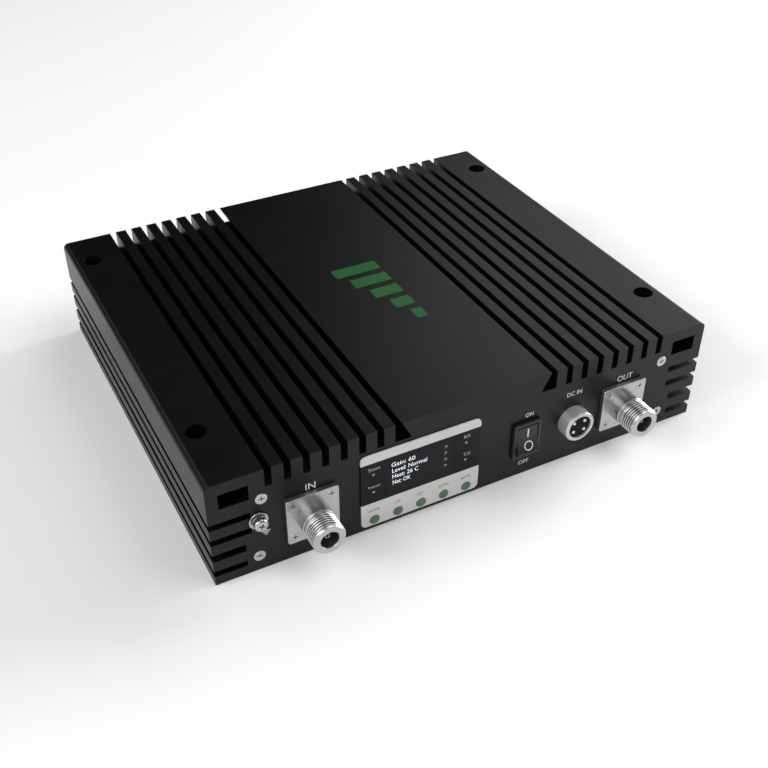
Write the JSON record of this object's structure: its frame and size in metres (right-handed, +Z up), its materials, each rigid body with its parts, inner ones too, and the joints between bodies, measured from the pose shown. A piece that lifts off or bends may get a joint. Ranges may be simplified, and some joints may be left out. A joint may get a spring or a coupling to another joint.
{
  "type": "cellular signal booster",
  "caption": "Signal booster in a finned aluminium case with two antenna ports, a round power socket, a rocker switch, a ground screw and a keyed display panel.",
  "frame": {"origin": "middle of the unit's footprint, antenna ports included, on the surface it stands on", "axes": "+X to the right seen from the front, +Y from the front panel to the back, +Z up through the fins"},
  "size_m": [0.264, 0.246, 0.057],
  "materials": {
    "black_anodised": "fine satin black anodising",
    "zinc_steel": "bright zinc plating",
    "nickel": "satin nickel plating, turned",
    "port_insulator": "smooth dark fluoropolymer",
    "silver_contact": "silver plating",
    "dark_insulator": "matt black moulded resin",
    "black_plastic": "fine moulded texture",
    "membrane_film": "printed polyester film, pale grey with a gloss black middle",
    "green_key": "satin green silicone",
    "clear_pipe": "clear acrylic",
    "display_glass": "gloss black display glass",
    "circuit_board": "green solder mask",
    "filter_metal": "silver plated",
    "coax_copper": "tinned copper tube",
    "harness_jacket": "black sleeve"
  },
  "bodies": {
    "case": {"heatsink_housing": "black_anodised", "front_panel": "black_anodised", "rear_panel": "black_anodised", "base_plate": "black_anodised", "front_panel_screw_1": "zinc_steel", "front_panel_screw_2": "zinc_steel", "front_panel_screw_3": "zinc_steel", "front_panel_screw_4": "zinc_steel", "rear_panel_screw_1": "zinc_steel", "rear_panel_screw_2": "zinc_steel", "rear_panel_screw_3": "zinc_steel", "rear_panel_screw_4": "zinc_steel", "ground_screw": "zinc_steel", "ground_flat_washer": "zinc_steel", "ground_spring_washer": "zinc_steel", "service_port_body": "nickel", "service_port_insulator": "port_insulator", "service_port_contact": "silver_contact", "service_port_screw_1": "nickel", "service_port_screw_2": "nickel", "service_port_screw_3": "nickel", "service_port_screw_4": "nickel", "donor_port_body": "nickel", "donor_port_insulator": "port_insulator", "donor_port_contact": "silver_contact", "donor_port_screw_1": "nickel", "donor_port_screw_2": "nickel", "donor_port_screw_3": "nickel", "donor_port_screw_4": "nickel", "power_socket_shell": "nickel", "power_socket_nut": "nickel", "power_pin_1": "nickel", "power_pin_2": "nickel", "power_pin_3": "nickel", "power_pin_4": "nickel", "power_socket_insert": "dark_insulator", "switch_body": "black_plastic", "membrane_panel": "membrane_film", "light_pipe_1": "clear_pipe", "light_pipe_2": "clear_pipe", "light_pipe_3": "clear_pipe", "light_pipe_4": "clear_pipe", "display_module": "display_glass", "keyboard_board": "circuit_board", "main_board": "circuit_board", "service_filter": "filter_metal", "donor_filter": "filter_metal", "rf_shield_can": "filter_metal", "service_coax": "coax_copper", "donor_coax": "coax_copper", "power_harness": "harness_jacket"},
    "rocker": {"switch_rocker": "black_plastic"},
    "push_key_1": {"key_1": "green_key"},
    "push_key_2": {"key_2": "green_key"},
    "push_key_3": {"key_3": "green_key"},
    "push_key_4": {"key_4": "green_key"},
    "push_key_5": {"key_5": "green_key"}
  },
  "joints": [
    {"name": "rocker_tilt", "type": "hinge", "parent": "case", "child": "rocker", "pos_m": [0.0279, -0.1019, 0.0225], "axis": [1, 0, 0], "range_deg": [0, 20]},
    {"name": "key_1_press", "type": "slide", "parent": "case", "child": "push_key_1", "axis": [0, 1, 0], "range_m": [0, 0.0004], "stiffness_N_per_m": 500},
    {"name": "key_2_press", "type": "slide", "parent": "case", "child": "push_key_2", "axis": [0, 1, 0], "range_m": [0, 0.0004], "stiffness_N_per_m": 500},
    {"name": "key_3_press", "type": "slide", "parent": "case", "child": "push_key_3", "axis": [0, 1, 0], "range_m": [0, 0.0004], "stiffness_N_per_m": 500},
    {"name": "key_4_press", "type": "slide", "parent": "case", "child": "push_key_4", "axis": [0, 1, 0], "range_m": [0, 0.0004], "stiffness_N_per_m": 500},
    {"name": "key_5_press", "type": "slide", "parent": "case", "child": "push_key_5", "axis": [0, 1, 0], "range_m": [0, 0.0004], "stiffness_N_per_m": 500}
  ]
}
